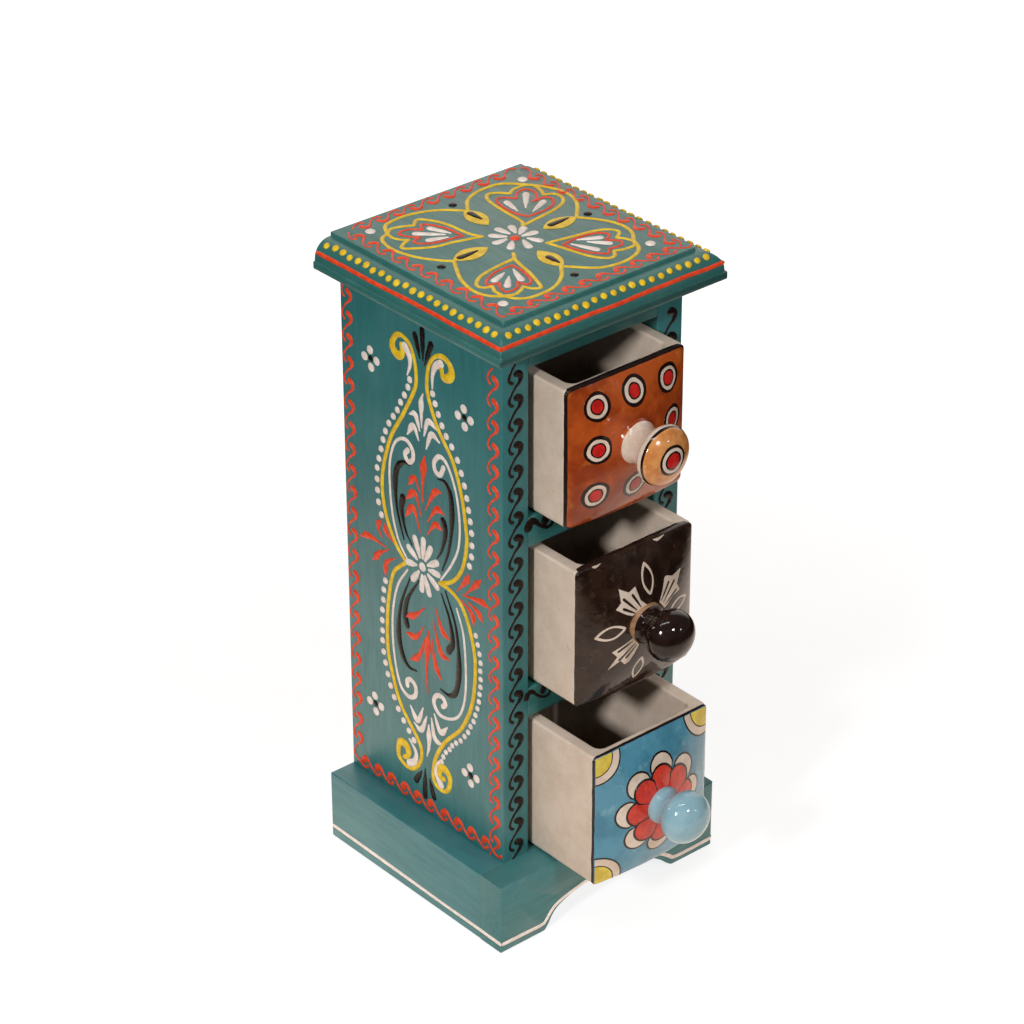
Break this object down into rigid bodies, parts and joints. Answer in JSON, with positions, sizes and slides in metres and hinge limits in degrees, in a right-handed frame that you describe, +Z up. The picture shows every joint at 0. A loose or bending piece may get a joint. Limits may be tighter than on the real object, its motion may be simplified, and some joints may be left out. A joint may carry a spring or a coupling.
{
  "type": "drawer tower",
  "caption": "Tall narrow tabletop chest: a wooden cabinet with a moulded cap and a scalloped plinth, holding ceramic drawers that slide out by turned knobs.",
  "frame": {"origin": "centre of the cabinet body's footprint, on the surface that it stands on", "axes": "+X to the right seen from the front, +Y to the back so that the drawers open towards -Y, +Z up"},
  "size_m": [0.1272, 0.1785, 0.305],
  "materials": {
    "painted_wood": "satin",
    "nail_steel": "satin",
    "orange_glaze": "gloss",
    "cream_glaze": "gloss",
    "black_glaze": "gloss",
    "black_knob_glaze": "gloss",
    "blue_glaze": "gloss",
    "pale_blue_glaze": "gloss"
  },
  "bodies": {
    "cabinet": {"cap_board": "painted_wood", "top_board": "painted_wood", "side_panel_left": "painted_wood", "side_panel_right": "painted_wood", "shelf_upper": "painted_wood", "shelf_lower": "painted_wood", "bottom_board": "painted_wood", "back_panel": "painted_wood", "plinth_front": "painted_wood", "plinth_left": "painted_wood", "plinth_right": "painted_wood", "carcass_nails": "nail_steel", "cap_nails": "nail_steel", "plinth_nails": "nail_steel", "back_panel_tacks": "nail_steel"},
    "drawer_top": {"drawer_top_box": "orange_glaze", "drawer_top_knob": "cream_glaze"},
    "drawer_middle": {"drawer_middle_box": "black_glaze", "drawer_middle_knob": "black_knob_glaze"},
    "drawer_bottom": {"drawer_bottom_box": "blue_glaze", "drawer_bottom_knob": "pale_blue_glaze"}
  },
  "joints": [
    {"name": "top_drawer_slide", "type": "slide", "parent": "cabinet", "child": "drawer_top", "axis": [0, -1, 0], "range_m": [-0.0178, 0.0622]},
    {"name": "middle_drawer_slide", "type": "slide", "parent": "cabinet", "child": "drawer_middle", "axis": [0, -1, 0], "range_m": [-0.0249, 0.0551]},
    {"name": "bottom_drawer_slide", "type": "slide", "parent": "cabinet", "child": "drawer_bottom", "axis": [0, -1, 0], "range_m": [-0.0386, 0.0414]}
  ]
}
